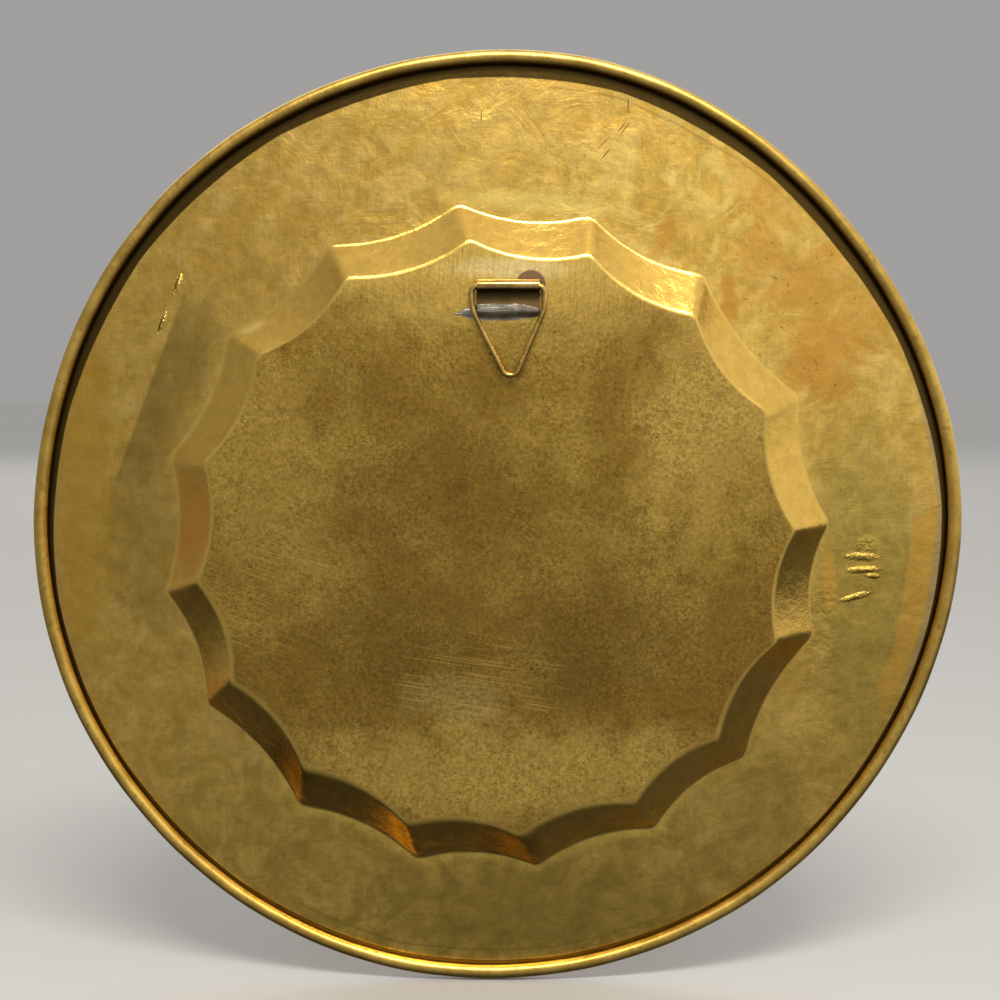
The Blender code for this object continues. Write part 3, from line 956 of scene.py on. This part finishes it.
def give_finishes(obj, stretch_of):
    """Gives each face of the sheet its material, from the stretches that its points belong to."""
    # Where a face lies between two stretches, the kind that comes first here is the one it gets.
    finishes = {
        "rim": [bead_brass()],
        "front": [enamelled_front()],
        "walls": [back_brass("walls", sector) for sector in range(SECTORS)],
        "flange": [back_brass("flange", sector) for sector in range(SECTORS)],
        "well": [back_brass("well")],
    }
    first_slot = {}
    for kind, materials in finishes.items():
        first_slot[kind] = len(obj.data.materials)
        for material in materials:
            obj.data.materials.append(material)
    kind_of = {"edge": "walls", "wall": "walls", "foot": "walls"}
    for face in obj.data.polygons:
        stretches = [stretch_of[index] for index in face.vertices]
        kinds = {kind_of.get(name, name) for name in stretches}
        kind = next(kind for kind in finishes if kind in kinds)
        slot = first_slot[kind]
        if len(finishes[kind]) == SECTORS:
            from_middle = face.center - RIM_MIDDLE
            turn = math.degrees(math.atan2(-from_middle.x, from_middle.z)) % 360
            slot += int(turn * SECTORS / 360)
        face.material_index = slot


def rim_shade_share(name, point, height_on_rim):
    """How much painted shade the rolled edge's inner side gets: up to its crown at the top, hardly at
    the foot.
    """
    if name == "flange":
        return 1.0
    if name != "rim" or point.x > ROLL_CENTRE_RADIUS:
        return 0.0
    centre = -FLANGE_DROP - SHEET + RIM_ROLL_RADIUS
    rise = (point.y - centre) / RIM_ROLL_RADIUS
    limit = -0.45 + 1.15 * smooth_step(-1.0, 0.95, height_on_rim)
    return smooth_step(limit + 0.25, limit - 0.15, rise)


def share_passed(name, names, row):
    """How far a row has passed through a stretch, from 0 before it to 1 after it."""
    share = (row - names.index(name)) / (names.count(name) - 1)
    return min(max(share, 0.0), 1.0)


def edge_highlight_share(name, names, row):
    """1 along the middle of the star's two rounded edges, where a highlight is painted."""
    if name not in ("edge", "foot"):
        return 0.0
    first = names.index(name)
    count = names.count(name)
    return 1 - abs((row - first) / (count - 1) - 0.5) * 2


# Hanger

KNUCKLE_STEPS = 44
LEAF_STEPS = 6
STRIP_BEVEL = 0.16 * MM
STRAP_SMOOTH_DEG = 35


def make_strap():
    """A strip's cross-section, spun round the ring's axis and drawn down into its leaf."""
    nothing_selected()
    middle = -(BORE_RADIUS + STRIP_SEEN / 2)
    bpy.ops.mesh.primitive_plane_add(size=1, location=(0, middle, 0))
    obj = bpy.context.object
    obj.name = "rolled_strap"
    obj.scale = (STRAP_WIDTH, STRIP_SEEN, 1)
    settle(obj)
    bpy.ops.object.mode_set(mode="EDIT")
    bpy.ops.mesh.select_all(action="SELECT")
    bpy.ops.mesh.spin(steps=KNUCKLE_STEPS, angle=math.radians(-KNUCKLE_TURN_DEG),
                      center=(0, 0, 0), axis=(1, 0, 0))
    bpy.ops.mesh.select_all(action="DESELECT")
    mesh = bmesh.from_edit_mesh(obj.data)
    start = Vector((0, middle, 0))
    cap = min(mesh.faces, key=lambda face: (face.calc_center_median() - start).length)
    cap.select_set(True)
    bmesh.update_edit_mesh(obj.data)
    step_down = {"value": (0, 0, -LEAF_LENGTH / LEAF_STEPS)}
    for _ in range(LEAF_STEPS):
        bpy.ops.mesh.extrude_region_move(TRANSFORM_OT_translate=step_down)
    bpy.ops.mesh.select_all(action="SELECT")
    bpy.ops.mesh.remove_doubles(threshold=0.00001)
    bpy.ops.mesh.normals_make_consistent(inside=False)
    bpy.ops.object.mode_set(mode="OBJECT")
    bevel = obj.modifiers.new("rounded edges", "BEVEL")
    bevel.width = STRIP_BEVEL
    bevel.segments = 3
    bevel.angle_limit = math.radians(50)
    bpy.ops.object.modifier_apply(modifier=bevel.name)
    leaf = [smooth_step(-1.2 * MM, -2.2 * MM, vertex.co.z) for vertex in obj.data.vertices]
    layer = obj.data.attributes.new("leaf", "FLOAT", "POINT")
    layer.data.foreach_set("value", np.array(leaf, dtype=np.float32))
    obj.data.materials.append(strap_brass())
    bpy.ops.object.shade_smooth_by_angle(angle=math.radians(STRAP_SMOOTH_DEG))
    return obj


def ring_route():
    """Points along the middle of the ring's wire, across and up from its axis."""
    shoulder = STRAP_WIDTH / 2 + RING_END_ROOM
    low_shoulder = shoulder - RING_SHOULDER_IN
    corners = [
        (Vector((shoulder, 0)), RING_CORNER, 12),
        (Vector((low_shoulder, -RING_SHOULDER_DOWN)), RING_SHOULDER_BEND, 10),
        (Vector((-RING_TIP_SIDE, -RING_LENGTH)), RING_TIP_BEND, 16),
        (Vector((-low_shoulder, -RING_SHOULDER_DOWN)), RING_SHOULDER_BEND, 10),
        (Vector((-shoulder, 0)), RING_CORNER, 12),
    ]
    route = []
    for index, (corner, radius, steps) in enumerate(corners):
        before = corners[index - 1][0]
        after = corners[(index + 1) % len(corners)][0]
        route += fillet(before, corner, after, radius, steps)
    return route


def make_ring():
    """One wire bent round the route that its solid has."""
    nothing_selected()
    curve = bpy.data.curves.new("wire_ring", "CURVE")
    curve.dimensions = "3D"
    curve.bevel_depth = WIRE_RADIUS
    curve.bevel_resolution = 8
    route = ring_route()
    spline = curve.splines.new("POLY")
    spline.points.add(len(route) - 1)
    for knot, point in zip(spline.points, route):
        knot.co = (point.x, 0, point.y, 1)
    spline.use_cyclic_u = True
    obj = bpy.data.objects.new("wire_ring", curve)
    bpy.context.scene.collection.objects.link(obj)
    only(obj)
    bpy.ops.object.convert(target="MESH")
    obj = bpy.context.object
    obj.data.materials.append(wire_brass())
    bpy.ops.object.shade_smooth()
    return obj


SOLDER_LEFT = 15.0 * MM
SOLDER_RIGHT = -9.6 * MM
SOLDER_TOP = -4.3 * MM
SOLDER_FOOT = -9.0 * MM
SOLDER_FILM = 0.17 * MM
SOLDER_LIFT = 0.02 * MM
SOLDER_STEPS = (110, 36)
SOLDER_SMOOTH_DEG = 50


def solder_height(across, up, share):
    """Height of the solder over the well's back: a film on the leaf and a fillet round it."""
    on_leaf = smooth_step(STRAP_WIDTH / 2 + 0.7 * MM, STRAP_WIDTH / 2 - 0.1 * MM, abs(across))
    on_leaf *= smooth_step(-LEAF_LENGTH - 1.7 * MM, -LEAF_LENGTH + 0.2 * MM, up)
    leaf_top = -BORE_RADIUS - WELL_BACK
    lump = 0.05 * MM * noise.noise(Vector((across, 0, up)) / (1.6 * MM))
    body = 0.55 * MM * share + lump
    film = leaf_top + SOLDER_FILM * (0.5 + 0.5 * share) + lump * 0.6
    return body * (1 - on_leaf) + film * on_leaf


def make_solder():
    """A smear with a long tail, run over the leaf's lower end."""
    nothing_selected()
    along, upright = SOLDER_STEPS
    bpy.ops.mesh.primitive_grid_add(x_subdivisions=along, y_subdivisions=upright,
                                    size=2, location=(0, 0, 0))
    obj = bpy.context.object
    obj.name = "solder_smear"
    middle_x = (SOLDER_LEFT + SOLDER_RIGHT) / 2
    half_x = (SOLDER_LEFT - SOLDER_RIGHT) / 2
    middle_z = (SOLDER_TOP + SOLDER_FOOT) / 2
    half_z = (SOLDER_TOP - SOLDER_FOOT) / 2
    for vertex in obj.data.vertices:
        u, v, _ = vertex.co
        # The square grid is drawn onto a disc, then onto the smear's pointed outline.
        disc_u = u * math.sqrt(1 - v * v / 2)
        disc_v = v * math.sqrt(1 - u * u / 2)
        share = max(0.0, 1 - math.hypot(disc_u, disc_v))
        waist = 1 - 0.72 * smooth_step(0.45, 1.0, disc_u)
        ragged = 0.10 * noise.noise(Vector((disc_u * 7, 3, disc_v * 2))) * (1 - share)
        across = middle_x + half_x * disc_u
        up = middle_z + half_z * (disc_v * waist + ragged - 0.25 * smooth_step(0.5, 1.0, disc_u))
        rise = smooth_step(0.0, 0.10, share)
        height = solder_height(across, up, smooth_step(0, 0.8, share)) * rise
        vertex.co = (across, WELL_BACK + SOLDER_LIFT + height, up)
    only(obj)
    bpy.ops.object.mode_set(mode="EDIT")
    face_outwards()
    bpy.ops.mesh.select_mode(type="EDGE")
    bpy.ops.mesh.select_all(action="DESELECT")
    bpy.ops.mesh.select_non_manifold()
    bpy.ops.mesh.extrude_edges_move(TRANSFORM_OT_translate={"value": (0, -SOLDER_LIFT, 0)})
    bpy.ops.mesh.edge_face_add()
    face_outwards()
    bpy.ops.object.mode_set(mode="OBJECT")
    obj.data.materials.append(soft_solder())
    bpy.ops.object.shade_smooth_by_angle(angle=math.radians(SOLDER_SMOOTH_DEG))
    return obj


def dress_object():
    sheet = make_plate()
    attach(sheet, "plate")
    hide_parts("plate")
    strap = make_strap()
    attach(strap, "plate")
    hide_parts("hanger_strap")
    solder = make_solder()
    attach(solder, "plate")
    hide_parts("solder_seam")
    ring = make_ring()
    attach(ring, "ring")
    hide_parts("hanging_ring")


# Floor, light and camera

FLOOR_SIZE = 60
FLOOR_GAP = 0.2 * MM
FLOOR_GREY = (0.46, 0.455, 0.45)
ROOM_WHITE = (1.0, 0.985, 0.96)
BACKDROP_LIGHT = 0.355
LAMP_WHITE = (1.0, 0.95, 0.86)
LAMP_AIM = (0, 0, -0.06)
# Each lamp's name, place, size and watts
LAMPS = (("lamp over the camera", (-0.10, 0.72, 0.86), (0.70, 0.20), 12.8),
         ("front fill", (0.8, -2.6, 2.2), (3.2, 2.4), 36.0))
CAMERA_PLACE = (-0.0028, 0.4089, -0.0286)
CAMERA_AIM = (0.00224, -0.00965, -0.05706)
CAMERA_LENS = 55.62


def make_floor():
    nothing_selected()
    bpy.ops.mesh.primitive_plane_add(size=FLOOR_SIZE, location=(0, 0, cad_low.z - FLOOR_GAP))
    floor = bpy.context.object
    floor.name = "floor"
    web = Finish("pale floor", 0.0)
    web.set("Base Color", (*FLOOR_GREY, 1))
    web.set("Roughness", 0.85)
    floor.data.materials.append(web.material)
    floor.visible_glossy = False


def make_world():
    """A dim room: dark below, brighter above and to the right as the back is looked at."""
    world = bpy.data.worlds.new("studio")
    bpy.context.scene.world = world
    world.use_nodes = True
    web = Web(world.node_tree)
    toward = web.term("ShaderNodeTexCoord", "Generated")
    parts = web.node("ShaderNodeSeparateXYZ", None, {0: toward})
    x, y, z = [Term(web, parts.outputs[name]) for name in "XYZ"]
    left = web.rise(x, 0.0, 0.40)
    right = web.rise(x, 0.0, -0.35)
    front = 0.06 + 0.235 * web.rise(z, -1.0, -0.45)
    front = front + (0.10 - 0.05 * left + 0.06 * right) * web.rise(z, -0.5, -0.05)
    front = front + (0.23 - 0.15 * left + 0.17 * right) * web.rise(z + 0.12 * right, -0.15, 0.42)
    front = front + 0.04 * web.rise(z, 0.4, 0.9)
    side_left = 0.055 + 0.295 * web.rise(z, -0.5, -0.08) + 0.34 * web.rise(z, 0.5, 0.99)
    side_right = 0.09 + 0.82 * web.rise(z, -0.15, -0.02)
    side = side_left + (side_right - side_left) * web.rise(x, 0.15, -0.35)
    light = side + (front - side) * web.rise(y, 0.3, 0.7)
    seen = web.term("ShaderNodeLightPath", "Is Camera Ray")
    light = light + (BACKDROP_LIGHT - light) * seen
    background = world.node_tree.nodes["Background"]
    web.feed(background.inputs["Strength"], light)
    background.inputs["Color"].default_value = (*ROOM_WHITE, 1)


def area_light(name, place, size, watts):
    """A rectangular lamp that looks at the plate's middle."""
    nothing_selected()
    bpy.ops.object.light_add(type="AREA", location=place)
    lamp = bpy.context.object
    lamp.name = name
    lamp.data.shape = "RECTANGLE"
    lamp.data.size, lamp.data.size_y = size
    lamp.data.energy = watts
    lamp.data.color = LAMP_WHITE
    aim = Vector(LAMP_AIM) - Vector(place)
    lamp.rotation_euler = aim.to_track_quat("-Z", "Y").to_euler()


def make_camera():
    nothing_selected()
    bpy.ops.object.camera_add(location=CAMERA_PLACE)
    camera = bpy.context.object
    camera.data.sensor_width = 36
    camera.data.lens = CAMERA_LENS
    camera.data.clip_start = 0.01
    aim = Vector(CAMERA_AIM) - Vector(CAMERA_PLACE)
    camera.rotation_euler = aim.to_track_quat("-Z", "Y").to_euler()
    bpy.context.scene.camera = camera


bpy.context.scene.view_settings.view_transform = "Standard"
make_camera()
dress_object()
make_floor()
make_world()
for lamp in LAMPS:
    area_light(*lamp)
nothing_selected()
